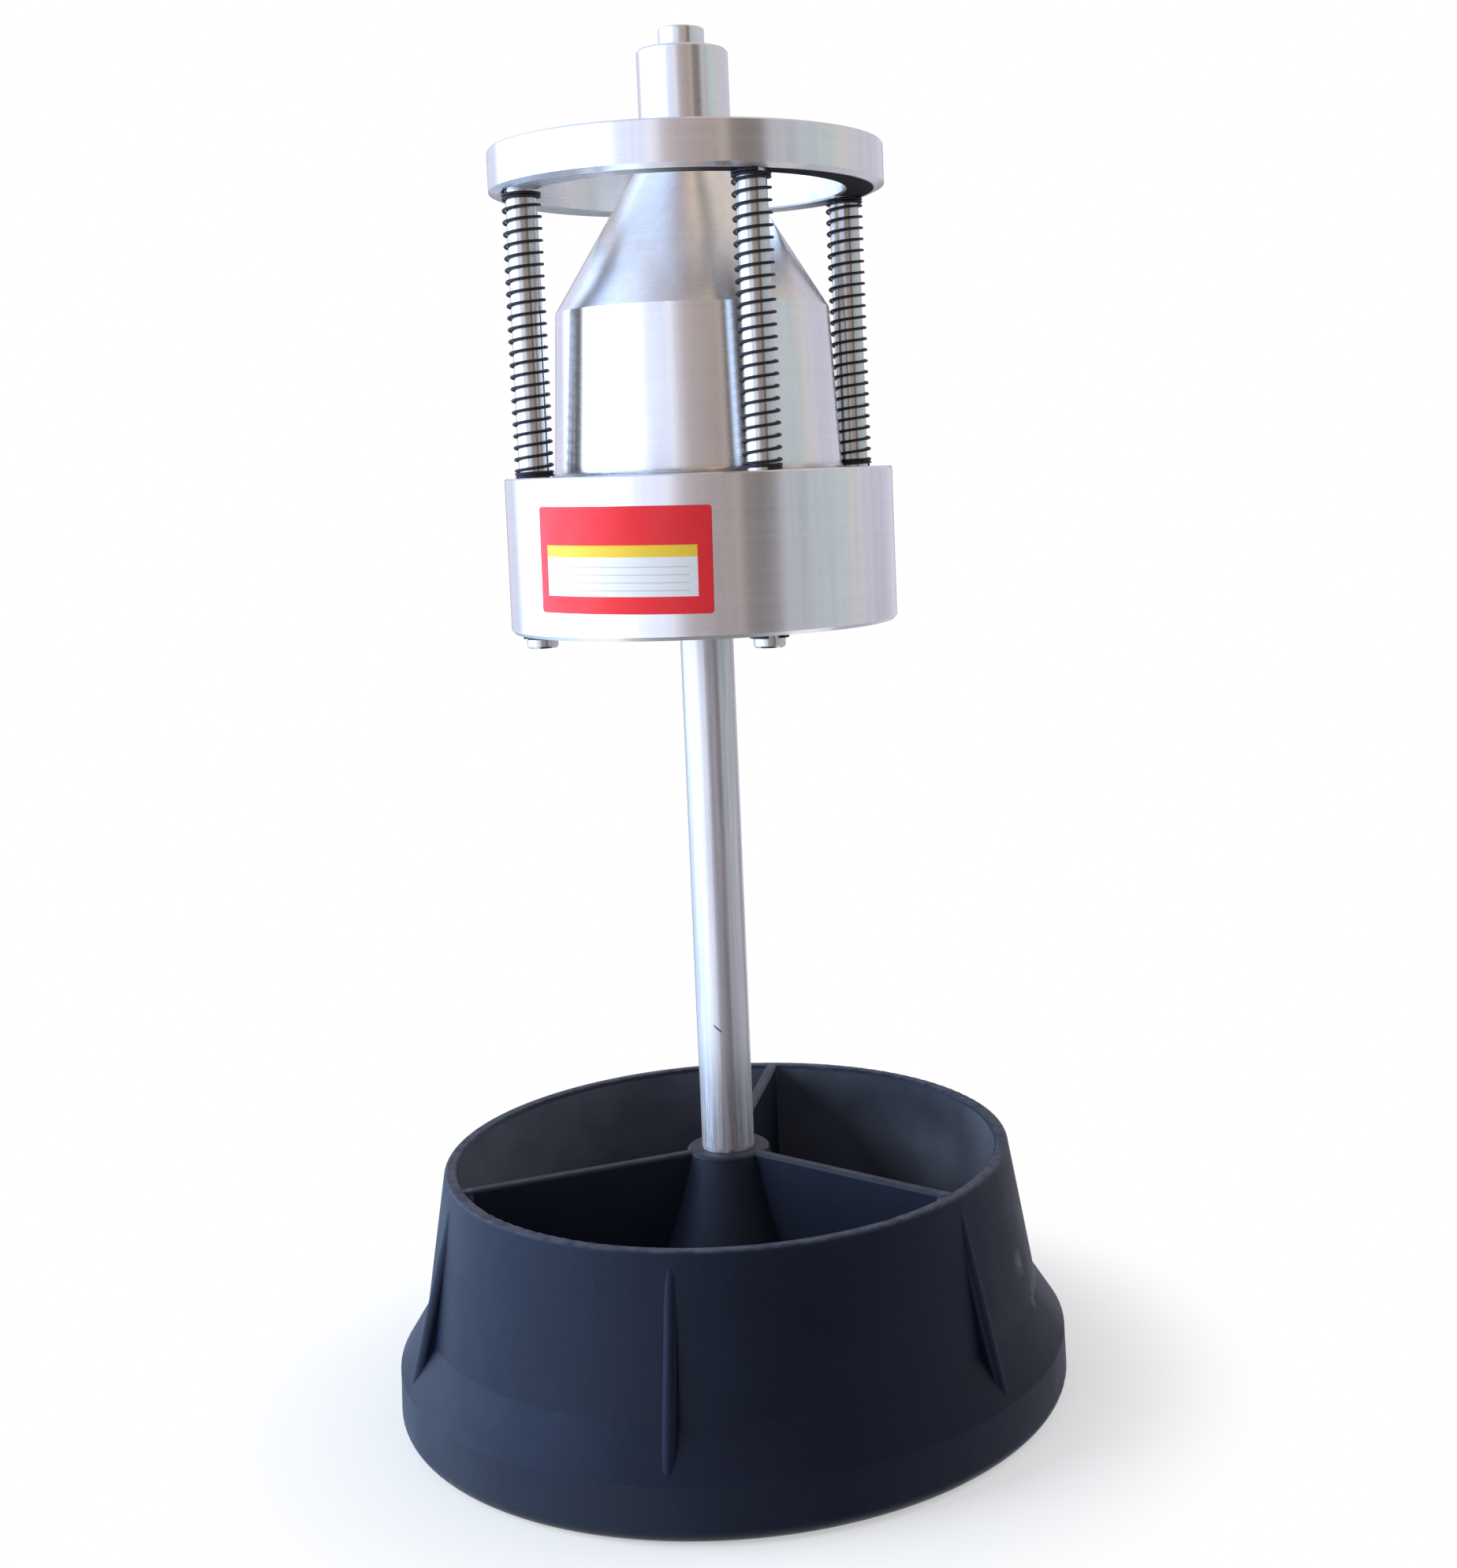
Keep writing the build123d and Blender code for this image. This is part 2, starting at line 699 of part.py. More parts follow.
coil_radius = rod_radius + coil_gap + spring_wire / 2
coil_bottom = drum_top + seat_gap + spring_wire / 2
coil_height = ring_bottom - drum_top - 2 * seat_gap - spring_wire
active_pitch = (coil_height - 2 * spring_end_turns * spring_end_pitch) / spring_active_turns
end_rises = [spring_end_pitch / 2] * (2 * spring_end_turns)
rises = end_rises + [active_pitch / 2] * (2 * spring_active_turns) + end_rises
slopes = [rises[0]] + [(low + high) / 2 for low, high in zip(rises, rises[1:])] + [rises[-1]]
heights = [coil_bottom + sum(rises[:i]) for i in range(len(rises) + 1)]
for number, ((x, y), azimuth) in enumerate(zip(rod_places, rod_azimuths), start=1):
    points = []
    ways = []
    for i, (height, slope) in enumerate(zip(heights, slopes)):
        turn = radians(azimuth) + pi * i
        points.append(Vector(x + coil_radius * cos(turn), y + coil_radius * sin(turn), height))
        half_round = pi * coil_radius
        ways.append(Vector(-half_round * sin(turn), half_round * cos(turn), slope).normalized())
    with BuildPart() as spring:
        with BuildLine() as coil:
            for i in range(len(rises)):
                half_turn(points[i], ways[i], points[i + 1], ways[i + 1])
        with BuildSketch(Plane(origin=points[0], z_dir=ways[0])):
            Circle(spring_wire / 2)
        sweep()
    spring.part.label = f"spring_{number}"
    export_step(spring.part, f"parts/spring_{number}.step")

# Least gap between one turn and the next, on points along the last spring's wire
steps_per_arc = 4
wire_points = [arc @ (k / steps_per_arc) for arc in coil.edges() for k in range(steps_per_arc)]
steps_per_turn = 4 * steps_per_arc
least_gap = min(
    (wire_points[j] - wire_points[i]).length - spring_wire
    for i in range(len(wire_points))
    for j in range(i + steps_per_turn // 2, min(i + 2 * steps_per_turn, len(wire_points)))
)
print("spring: turns", len(rises) / 2, "least gap to itself", round(least_gap, 3))
solid_height = (spring_active_turns + 2 * spring_end_turns + 1) * spring_wire
print("spring: room left at full travel", round(ring_bottom - drum_top - ring_travel - solid_height, 2))
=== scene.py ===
import math
import bmesh
import bpy
import numpy as np
from mathutils import Matrix, Vector


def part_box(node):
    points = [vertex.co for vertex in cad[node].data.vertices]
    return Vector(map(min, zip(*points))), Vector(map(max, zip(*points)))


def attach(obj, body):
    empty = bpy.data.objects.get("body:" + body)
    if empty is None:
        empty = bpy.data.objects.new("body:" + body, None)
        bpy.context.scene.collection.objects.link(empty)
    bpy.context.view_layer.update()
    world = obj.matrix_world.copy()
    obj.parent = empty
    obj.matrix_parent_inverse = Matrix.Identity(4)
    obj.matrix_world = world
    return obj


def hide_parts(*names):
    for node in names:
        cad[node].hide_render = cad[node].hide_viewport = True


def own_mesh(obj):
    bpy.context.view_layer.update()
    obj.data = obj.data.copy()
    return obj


# Bubble wheel balancer: a tray base, an upright shaft and a turned head that swings on one ball
# and carries a sprung ring. Metres, Z up the shaft, front towards -Y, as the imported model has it.
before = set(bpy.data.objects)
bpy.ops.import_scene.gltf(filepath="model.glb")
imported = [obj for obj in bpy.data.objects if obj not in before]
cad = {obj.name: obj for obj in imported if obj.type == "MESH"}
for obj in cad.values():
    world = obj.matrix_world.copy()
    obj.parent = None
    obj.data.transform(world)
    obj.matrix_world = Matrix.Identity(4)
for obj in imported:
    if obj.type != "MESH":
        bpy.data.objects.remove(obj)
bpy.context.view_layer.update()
scene = bpy.context.scene
scene.view_settings.view_transform = "Standard"

# Camera: the photograph's angle, level with the drum and a little turned, dipped and rolled, in
# radians. The focal length and shift are in the photograph's pixels, from the circles of base, drum
# and ring.
photo_height = 1989
focal_length = 2581.05
shift_right, shift_up = -172.503, -191.898
camera_place = Vector((0.0040264, -0.732813, 0.335300))
heading, dip, roll = 0.0722, 0.0835, -0.0362
forward = Vector(
    (math.sin(heading) * math.cos(dip), math.cos(heading) * math.cos(dip), -math.sin(dip))
)
level_right = Vector((math.cos(heading), -math.sin(heading), 0))
level_up = level_right.cross(forward)
camera_right = level_right * math.cos(roll) + level_up * math.sin(roll)
camera_up = level_up * math.cos(roll) - level_right * math.sin(roll)
lens = bpy.data.cameras.new("camera")
lens.sensor_width = 36
lens.lens = lens.sensor_width * focal_length / photo_height
lens.shift_x = shift_right / photo_height
lens.shift_y = shift_up / photo_height
camera = bpy.data.objects.new("camera", lens)
camera.matrix_world = Matrix.Translation(camera_place) @ Matrix(
    (camera_right, camera_up, -forward)
).transposed().to_4x4()
scene.collection.objects.link(camera)
scene.camera = camera


# Room: plain soft daylight. The world is white to the eye and a plain grey-white as light, and a
# light tent that only gloss can see gives the polished metal its window, dim wall and pale wall.
def add(tree, kind, *values, **settings):
    """A shader node with these settings; each value in turn is linked if it is a socket, or set."""
    made = tree.nodes.new("ShaderNode" + kind)
    for name, setting in settings.items():
        setattr(made, name, setting)
    for socket, value in zip(made.inputs, values):
        if isinstance(value, bpy.types.NodeSocket):
            tree.links.new(value, socket)
        elif value is not None:
            socket.default_value = value
    return made.outputs[0] if made.outputs else made


def mixed(tree, share, low, high):
    """The colour that goes from low to high as share goes from 0 to 1."""
    unused = (None,) * 5
    return add(tree, "Mix", share, *unused, low, high, data_type="RGBA").node.outputs[2]


def ramp(tree, share, *stops):
    """Colour by share, straight from stop to stop; a stop is its place and its colour."""
    made = add(tree, "ValToRGB", share).node
    points = made.color_ramp.elements
    while len(points) < len(stops):
        points.new(1)
    for point, (place, colour) in zip(points, stops):
        point.position = place
        point.color = (*colour, 1)
    return made.outputs[0]


def smooth_step(tree, value, start, end, low=0.0, high=1.0):
    """A share that eases from low to high while value goes from start to end."""
    return add(tree, "MapRange", value, start, end, low, high, interpolation_type="SMOOTHSTEP")


def most(tree, one, other):
    """The larger of two values."""
    return add(tree, "Math", one, other, operation="MAXIMUM")


def sees_backdrop(tree):
    """1 on rays that should find the white backdrop: the camera's, and those of metal and glass."""
    path = add(tree, "LightPath").node.outputs
    clear = most(tree, path["Is Camera Ray"], path["Is Transmission Ray"])
    return most(tree, clear, path["Is Glossy Ray"])


def round_grid(steps, other):
    """Two grids: angles once round in equal steps, by the values of a second parameter."""
    return np.meshgrid(np.linspace(0, 2 * np.pi, steps, endpoint=False), other, indexing="ij")


def sheet_mesh(name, points, wrap_u=False, wrap_v=False):
    """A mesh of four-sided faces over a grid of points (u, v, xyz), closed where it wraps.

    Point (u, v) is number u * count_v + v, and each face joins it to the next points along u and v.
    """
    count_u, count_v = points.shape[:2]
    u, v = np.meshgrid(
        np.arange(count_u if wrap_u else count_u - 1),
        np.arange(count_v if wrap_v else count_v - 1),
        indexing="ij",
    )
    after_u, after_v = (u + 1) % count_u, (v + 1) % count_v
    corners = np.stack(
        [u * count_v + v, after_u * count_v + v, after_u * count_v + after_v, u * count_v + after_v], -1
    ).reshape(-1, 4)
    mesh = bpy.data.meshes.new(name)
    mesh.from_pydata(points.reshape(-1, 3).tolist(), [], corners.tolist())
    mesh.polygons.foreach_set("use_smooth", np.ones(len(mesh.polygons), bool))
    return mesh


def sealed(mesh):
    """The mesh with points that lie on one another joined, which closes poles and ends."""
    work = bmesh.new()
    work.from_mesh(mesh)
    bmesh.ops.remove_doubles(work, verts=work.verts, dist=1e-7)
    bmesh.ops.recalc_face_normals(work, faces=work.faces)
    work.to_mesh(mesh)
    work.free()
    return mesh


def placed(name, mesh, finish):
    """An object at the origin with this mesh and finish."""
    made = bpy.data.objects.new(name, mesh)
    mesh.materials.append(finish)
    scene.collection.objects.link(made)
    return made


ambient_colour = (0.42, 0.43, 0.47, 1)
white = (1, 1, 1, 1)
world = bpy.data.worlds.new("room")
world.use_nodes = True
scene.world = world
air = world.node_tree
air.nodes.clear()
add(
    air,
    "OutputWorld",
    add(
        air,
        "MixShader",
        sees_backdrop(air),
        add(air, "Background", ambient_colour, 1.0),
        add(air, "Background", white, 1.0),
    ),
)

# The tent's colours by the angle round it in degrees: 0 is in front of the stand, behind the camera,
# and 90 is at its right
wall_colours = (
    (-180, (0.66, 0.66, 0.76)),
    (-174, (0.34, 0.33, 0.37)),
    (-165, (0.36, 0.35, 0.40)),
    (-161, (0.72, 0.73, 0.88)),
    (-138, (0.74, 0.76, 0.94)),
    (-128, (1.50, 1.78, 2.35)),
    (-110, (2.00, 2.60, 3.80)),
    (-62, (1.95, 2.50, 3.60)),
    (-50, (1.55, 1.72, 2.15)),
    (-42, (1.30, 1.36, 1.50)),
    (-40, (0.90, 0.97, 1.22)),
    (-22, (0.86, 0.92, 1.14)),
    (-19, (1.06, 1.09, 1.18)),
    (-15, (0.78, 0.76, 0.85)),
    (-8, (0.50, 0.44, 0.46)),
    (8, (0.40, 0.33, 0.31)),
    (18, (0.37, 0.31, 0.285)),
    (21, (0.59, 0.52, 0.485)),
    (25, (0.245, 0.205, 0.185)),
    (43, (0.185, 0.158, 0.148)),
    (47, (0.50, 0.51, 0.56)),
    (58, (0.49, 0.505, 0.56)),
    (61, (0.36, 0.39, 0.44)),
    (65, (0.50, 0.56, 0.60)),
    (90, (0.52, 0.59, 0.61)),
    (97, (0.64, 0.61, 0.58)),
    (112, (0.62, 0.60, 0.70)),
    (132, (0.58, 0.56, 0.66)),
    (161, (0.66, 0.66, 0.77)),
    (164, (0.36, 0.34, 0.37)),
    (173, (0.34, 0.32, 0.36)),
    (180, (0.66, 0.66, 0.76)),
)
ceiling_colours = (
    (-180, (0.58, 0.60, 0.72)),
    (-110, (0.70, 0.86, 1.16)),
    (-60, (0.70, 0.86, 1.14)),
    (-42, (0.50, 0.56, 0.74)),
    (-30, (0.36, 0.31, 0.32)),
    (8, (0.66, 0.53, 0.45)),
    (20, (0.86, 0.69, 0.56)),
    (33, (0.165, 0.15, 0.155)),
    (44, (0.155, 0.15, 0.16)),
    (56, (0.74, 0.65, 0.58)),
    (100, (0.72, 0.62, 0.54)),
    (180, (0.58, 0.60, 0.72)),
)
floor_colours = (
    (-180, (0.16, 0.17, 0.24)),
    (-140, (0.60, 0.78, 1.10)),
    (-75, (1.25, 1.58, 2.15)),
    (-40, (1.35, 1.42, 1.65)),
    (-26, (1.12, 1.17, 1.42)),
    (-12, (0.46, 0.48, 0.60)),
    (0, (0.34, 0.345, 0.43)),
    (12, (0.32, 0.315, 0.39)),
    (24, (0.21, 0.21, 0.25)),
    (35, (0.22, 0.22, 0.26)),
    (42, (0.42, 0.43, 0.50)),
    (75, (0.44, 0.46, 0.54)),
    (106, (0.54, 0.56, 0.64)),
    (132, (0.31, 0.31, 0.37)),
    (138, (0.36, 0.36, 0.42)),
    (150, (0.62, 0.62, 0.70)),
    (162, (0.64, 0.64, 0.72)),
    (170, (0.16, 0.16, 0.22)),
    (180, (0.16, 0.17, 0.24)),
)
# The tent is a dome round a point at this height, down to this angle. The sine of the rise says where
# its walls start to turn into ceiling and floor, and where they are wholly that.
tent_radius, tent_height, tent_lowest = 1.6, 0.36, -50
ceiling_from, ceiling_whole = 0.30, 0.80
floor_from, floor_whole = -0.08, -0.32


def around(stops):
    """Stops by angle made into stops by share of the whole round."""
    return [((angle + 180) / 360, colour) for angle, colour in stops]


tent_finish = bpy.data.materials.new("light_tent")
tent_finish.use_nodes = True
tent_finish.cycles.emission_sampling = "NONE"
cloth = tent_finish.node_tree
cloth.nodes.clear()
tent_place = add(cloth, "TexCoord").node.outputs["Object"]
tent_point = add(cloth, "VectorMath", tent_place, (0, 0, tent_height), operation="SUBTRACT")
tent_way = add(cloth, "VectorMath", tent_point, operation="NORMALIZE")
to_right, to_back, to_sky = add(cloth, "SeparateXYZ", tent_way).node.outputs
to_front = add(cloth, "Math", to_back, -1.0, operation="MULTIPLY")
round_angle = add(cloth, "Math", to_right, to_front, operation="ARCTAN2")
round_share = add(cloth, "MapRange", round_angle, -math.pi, math.pi, 0.0, 1.0)
tent_colour = ramp(cloth, round_share, *around(wall_colours))
for colours, share_from, share_whole in (
    (ceiling_colours, ceiling_from, ceiling_whole),
    (floor_colours, floor_from, floor_whole),
):
    share = smooth_step(cloth, to_sky, share_from, share_whole)
    tent_colour = mixed(cloth, share, tent_colour, ramp(cloth, round_share, *around(colours)))
add(cloth, "OutputMaterial", add(cloth, "Emission", tent_colour, 1.0))
turn, rise = round_grid(72, np.radians(np.linspace(tent_lowest, 90, 36)))
tent_points = tent_radius * np.stack(
    [np.cos(rise) * np.cos(turn), np.cos(rise) * np.sin(turn), np.sin(rise)], -1
)
tent_points[..., 2] += tent_height
tent = placed("light_tent", sealed(sheet_mesh("light_tent", tent_points, wrap_u=True)), tent_finish)
tent.visible_camera = tent.visible_diffuse = tent.visible_transmission = False
tent.visible_shadow = tent.visible_volume_scatter = False

# Window and fill: a broad soft lamp at the left gives the light its side and the floor its shadow,
# and a weaker one at the right opens the dark side. Gloss sees the tent in their place.
stand_middle = Vector((0, 0, 0.25))
for name, place, size, power, colour in (
    ("window_lamp", (-1.30, -0.10, 0.52), 1.1, 36.0, (0.74, 0.88, 1.0)),
    ("side_lamp", (1.2, 0.25, 0.8), 0.9, 6.5, (1.0, 0.98, 0.96)),
):
    light = bpy.data.lights.new(name, "AREA")
    light.size = size
    light.energy = power
    light.color = colour
    lamp = bpy.data.objects.new(name, light)
    lamp.location = place
    lamp.rotation_mode = "QUATERNION"
    lamp.rotation_quaternion = (stand_middle - Vector(place)).to_track_quat("-Z", "Y")
    lamp.visible_glossy = False
    scene.collection.objects.link(lamp)

# Floor: a plain pale sheet. It keeps the stand's shadow near the stand, and further out it fades
# into the white of the backdrop. Gloss sees the tent's low colours in its place.
floor_colour = (0.90, 0.90, 0.91, 1)
floor_radius, floor_drop = 0.62, 0.0002
fade_start, fade_end, least_fade = 0.120, 0.20, 0.45
floor_finish = bpy.data.materials.new("floor")
floor_finish.use_nodes = True
ground = floor_finish.node_tree
ground.nodes.clear()
floor_place = add(ground, "TexCoord").node.outputs["Object"]
floor_distance = add(ground, "VectorMath", floor_place, operation="LENGTH").node.outputs["Value"]
floor_fade = smooth_step(ground, floor_distance, fade_start, fade_end, least_fade, 1.0)
add(
    ground,
    "OutputMaterial",
    add(
        ground,
        "MixShader",
        add(ground, "Math", floor_fade, sees_backdrop(ground), operation="MULTIPLY"),
        add(ground, "BsdfDiffuse", floor_colour),
        add(ground, "Emission", white, 1.0),
    ),
)
turn, reach = round_grid(96, np.linspace(0, floor_radius, 5))
floor_points = np.stack([reach * np.sin(turn), reach * np.cos(turn), np.full_like(turn, -floor_drop)], -1)
floor = placed("floor", sealed(sheet_mesh("floor", floor_points, wrap_u=True)), floor_finish)
floor.visible_glossy = False


# Base: one moulding of black plastic, with a fine spark-eroded texture from its mould. Its lip and
# the tops of its webs have rubbed lighter. The tray's inside is hazed and dusted, partly painted
# light, with painted shade high on the right of its wall; knocks have left scuffs at the right of
# the skirt.
def new_finish(name):
    """A material with an empty node tree but for its shader: the material, the tree, the shader."""
    made = bpy.data.materials.new(name)
    made.use_nodes = True
    tree = made.node_tree
    tree.nodes.clear()
    shader = add(tree, "BsdfPrincipled").node
    add(tree, "OutputMaterial", shader.outputs[0])
    return made, tree, shader


def feed(tree, shader, **values):
    """Links or sets the shader's sockets, named with an underline for each space."""
    for name, value in values.items():
        socket = shader.inputs[name.replace("_", " ")]
        if isinstance(value, bpy.types.NodeSocket):
            tree.links.new(value, socket)
        else:
            socket.default_value = value


def place_of(tree):
    """The point's own coordinates on its piece, and their three parts."""
    point = add(tree, "TexCoord").node.outputs["Object"]
    return point, add(tree, "SeparateXYZ", point).node.outputs


def noise(tree, point, scale, detail=2.0, roughness=0.5):
    """Cloudy noise from 0 to 1, with this many features to the metre."""
    return add(tree, "TexNoise", point, None, scale, detail, roughness)


def bump(tree, height, depth, strength=1.0, under=None):
    """The normal of a surface raised by this share of a depth in metres, over another normal."""
    made = add(tree, "Bump").node
    made.inputs["Strength"].default_value = strength
    made.inputs["Distance"].default_value = depth
    tree.links.new(height, made.inputs["Height"])
    if under is not None:
        tree.links.new(under, made.inputs["Normal"])
    return made.outputs[0]


def times(tree, one, other):
    """The product of two values."""
    return add(tree, "Math", one, other, operation="MULTIPLY")


def plus(tree, one, other):
    """The sum of two values."""
    return add(tree, "Math", one, other, operation="ADD")


def rest_of(tree, share):
    """What a share leaves of 1."""
    return add(tree, "Math", 1.0, share, operation="SUBTRACT")


def gap_to(tree, value, target):
    """How far a value is from a target, on either side."""
    away = add(tree, "Math", value, target, operation="SUBTRACT")
    return add(tree, "Math", away, operation="ABSOLUTE")


def off_axis(tree, point):
    """How far a point is from the stand's axis: the length of its X and Y."""
    flat = add(tree, "VectorMath", point, (1, 1, 0), operation="MULTIPLY")
    return add(tree, "VectorMath", flat, operation="LENGTH").node.outputs["Value"]


def spots(tree, point, places, core=0.6):
    """1 inside any of some small round marks, each given by azimuth, radius, height and size.

    A mark fades from the share core of its size to the whole of it.
    """
    share = None
    for azimuth, reach, mark_height, size in places:
        azimuth = math.radians(azimuth)
        centre = (reach * math.cos(azimuth), reach * math.sin(azimuth), mark_height)
        away = add(tree, "VectorMath", point, centre, operation="DISTANCE").node.outputs["Value"]
        spot = smooth_step(tree, away, size, core * size)
        share = spot if share is None else most(tree, share, spot)
    return share


def frayed(tree, point, scale, reach):
    """The point moved about by noise, up to half this reach, which frays the marks put there."""
    away = add(tree, "TexNoise", point, None, scale, 3.0).node.outputs["Color"]
    away = add(tree, "VectorMath", away, (0.5, 0.5, 0.5), operation="SUBTRACT")
    away = add(tree, "VectorMath", away, (reach, reach, reach), operation="MULTIPLY")
    return add(tree, "VectorMath", point, away, operation="ADD")


def wear(node, finish):
    """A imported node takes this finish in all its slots."""
    for slot in cad[node].material_slots:
        slot.material = finish


moulding_black = (0.0026, 0.0046, 0.0130, 1)
moulding_bloom = (0.0042, 0.0066, 0.0165, 1)
# Haze and dust inside the tray are partly painted light: they make the hollow lighter and bluer than the
# lamps light it.
haze_and_painted_light = (0.0115, 0.0135, 0.0240, 1)
dust_and_painted_light = (0.098, 0.106, 0.136, 1)
moulding_rubbed = (0.036, 0.038, 0.046, 1)
rim_rubbed = (0.051, 0.058, 0.082, 1)
scuffed = (0.120, 0.124, 0.150, 1)
# Azimuth, radius, height and size
moulding_scuffs = (
    (-21.5, 0.1084, 0.0518, 0.0068),
    (-15.7, 0.1107, 0.0378, 0.0042),
    (-17.5, 0.1108, 0.0340, 0.0030),
)
scuff_share, scuff_fray = 0.85, 0.0060
base_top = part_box("base")[1].z
lip_depth, lip_inside, lip_whole = 0.0009, 0.0940, 0.0960
tray_wall_radius, wall_paint_near, wall_paint_far = 0.0967, 0.0012, 0.0022
wall_paint_from, wall_paint_whole = base_top - 0.0006, base_top - 0.0020
# Painted shade: high on the right of the tray's wall, where the window lamp lights it strongly.
shade_azimuth, shade_near, shade_far = (math.radians(angle) for angle in (43, 8, 36))
shade_low, shade_high, shade_share = base_top - 0.0285, base_top - 0.0085, 0.62
moulding, tree, shader = new_finish("black_moulding")
point, (across, along, height) = place_of(tree)
cloud = noise(tree, point, 38.0, 4.0, 0.6)
grain = noise(tree, point, 2600.0, 2.0)
mottle = noise(tree, point, 950.0, 3.0, 0.6)
swell = noise(tree, point, 55.0, 1.0)
radius = off_axis(tree, point)
azimuth = add(tree, "Math", along, across, operation="ARCTAN2")
# Dust and painted light: the tray's wall is painted lighter from just under the lip down.
dust_and_light_share = smooth_step(tree, gap_to(tree, radius, tray_wall_radius), wall_paint_far, wall_paint_near)
dust_and_light_share = times(tree, dust_and_light_share, smooth_step(tree, height, wall_paint_from, wall_paint_whole))
dust_and_light_share = times(tree, dust_and_light_share, smooth_step(tree, cloud, 0.20, 0.75, 0.65, 1.0))
# Painted shade: the wall's lighter paint is thinned high on the right, which darkens it there.
painted_shade = smooth_step(tree, gap_to(tree, azimuth, shade_azimuth), shade_far, shade_near, 0.0, shade_share)
painted_shade = times(tree, painted_shade, smooth_step(tree, height, shade_low, shade_high))
dust_and_light_share = times(tree, dust_and_light_share, rest_of(tree, painted_shade))
bloom = plus(tree, smooth_step(tree, cloud, 0.35, 0.80), smooth_step(tree, mottle, 0.3, 0.7, -0.9, 0.9))
bloomed = mixed(tree, bloom, moulding_black, moulding_bloom)
# The whole inside of the tray takes the haze, partly painted light.
inside = smooth_step(tree, radius, tray_wall_radius, tray_wall_radius - 0.0006)
hazed_and_lit = mixed(tree, inside, bloomed, haze_and_painted_light)
dusted_and_lit = mixed(tree, dust_and_light_share, hazed_and_lit, dust_and_painted_light)
lip = smooth_step(tree, height, base_top - lip_depth, base_top)
rub = times(tree, lip, smooth_step(tree, noise(tree, point, 210.0, 3.0), 0.30, 0.62, 0.35, 1.0))
on_rim = smooth_step(tree, radius, lip_inside, lip_whole)
rub = times(tree, rub, smooth_step(tree, on_rim, 0.0, 1.0, 0.8, 1.0))
rubbed = mixed(tree, times(tree, lip, on_rim), moulding_rubbed, rim_rubbed)
scratch_place = add(tree, "Mapping", point, None, (0.3, 0.2, 0.9), (1.0, 1.0, 9.0))
scratches = times(
    tree,
    smooth_step(tree, noise(tree, scratch_place, 120.0, 5.0, 0.7), 0.70, 0.76),
    smooth_step(tree, noise(tree, point, 17.0, 1.0), 0.52, 0.66),
)
marks = most(tree, rub, times(tree, scratches, 0.55))
scuffs = spots(tree, frayed(tree, point, 230.0, scuff_fray), moulding_scuffs, 0.0)
broken = smooth_step(tree, noise(tree, point, 640.0, 4.0, 0.65), 0.36, 0.62, 0.15, 1.0)
scuffs = times(tree, times(tree, scuffs, scuff_share), broken)
worn = mixed(tree, marks, dusted_and_lit, rubbed)
texture = plus(tree, grain, times(tree, mottle, 0.8))
feed(
    tree,
    shader,
    Base_Color=mixed(tree, scuffs, worn, scuffed),
    Roughness=smooth_step(tree, plus(tree, cloud, times(tree, grain, 0.3)), 0.4, 0.95, 0.38, 0.52),
    Specular_IOR_Level=0.28,
    Specular_Tint=(0.72, 0.84, 1.0, 1),
    Normal=bump(tree, texture, 0.00006, 0.55, bump(tree, swell, 0.0006, 0.35)),
)
wear("base", moulding)


# Bolt, washer and foot plug: bright zinc plate, which keeps a fine crystal bloom. The bolt pulls
# the shaft down into the base's hub through the plug in the tube's foot.
def in_room(tree, way):
    """A direction on the piece as the room has it."""
    return add(
        tree, "VectorTransform", way, vector_type="VECTOR", convert_from="OBJECT", convert_to="WORLD"
    )


def steel_finish(name, colour, roughness, bloom, lines, anisotropy=0.0):
    """Metal with cloudy bloom and fine lines along Z, with roughness varied by both."""
    made, tree, shader = new_finish(name)
    point, _ = place_of(tree)
    stretched = add(tree, "Mapping", point, None, None, (1.0, 1.0, 0.02))
    line = smooth_step(tree, noise(tree, stretched, 700.0, 4.0, 0.75), 0.36, 0.64)
    cloud = noise(tree, point, 150.0, 3.0)
    shade = plus(tree, times(tree, cloud, bloom), times(tree, line, lines))
    dark = tuple(part * (1 - 0.5 * (bloom + lines)) for part in colour)
    feed(
        tree,
        shader,
        Base_Color=mixed(tree, shade, (*dark, 1), (*colour, 1)),
        Metallic=1.0,
        Roughness=smooth_step(tree, shade, 0.0, bloom + lines, roughness * 0.8, roughness * 1.3),
        Anisotropic=anisotropy,
        Tangent=in_room(tree, (0, 0, 1)),
        Normal=bump(tree, line, 0.000012, 0.6 * lines),
    )
    return made, tree, shader


zinc = steel_finish("zinc_steel", (0.66, 0.67, 0.69), 0.30, 0.5, 0.1)[0]
for node in ("shaft_bolt", "shaft_washer", "shaft_foot_plug"):
    wear(node, zinc)


# Shaft: bright drawn steel tube, polished lengthwise and duller towards its foot. It has one small
# dark nick low on its front and a thin film of dirt where it goes into the hub.
def fed(shader, name):
    """What the shader's socket of this name is linked to."""
    return shader.inputs[name].links[0].from_socket


shaft_colour, shaft_dirt = (0.88, 0.865, 0.885), (0.10, 0.075, 0.06, 1)
shaft_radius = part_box("shaft")[1].x
nick_height, nick_azimuth = 0.1333, math.radians(-102.7)
nick_slant, nick_narrow = 0.72, 0.14
nick_core, nick_edge, nick_fray = 0.0023, 0.0030, 0.0012
hub_top, dirt_height, dirt_share = 0.0872, 0.0020, 0.7
dull_from, dull_whole, dull_factor = 0.128, 0.094, 1.5
nick_centre = (
    shaft_radius * math.cos(nick_azimuth), shaft_radius * math.sin(nick_azimuth), nick_height
)
shaft_finish, tree, shader = steel_finish("drawn_steel", shaft_colour, 0.18, 0.15, 0.50, 1.0)
point, (_, _, height) = place_of(tree)
off_nick = add(tree, "VectorMath", point, nick_centre, operation="SUBTRACT")
nick_way = add(
    tree, "Mapping", off_nick, None, (0, nick_slant, 0), (1.0, 1.0, nick_narrow), vector_type="TEXTURE"
)
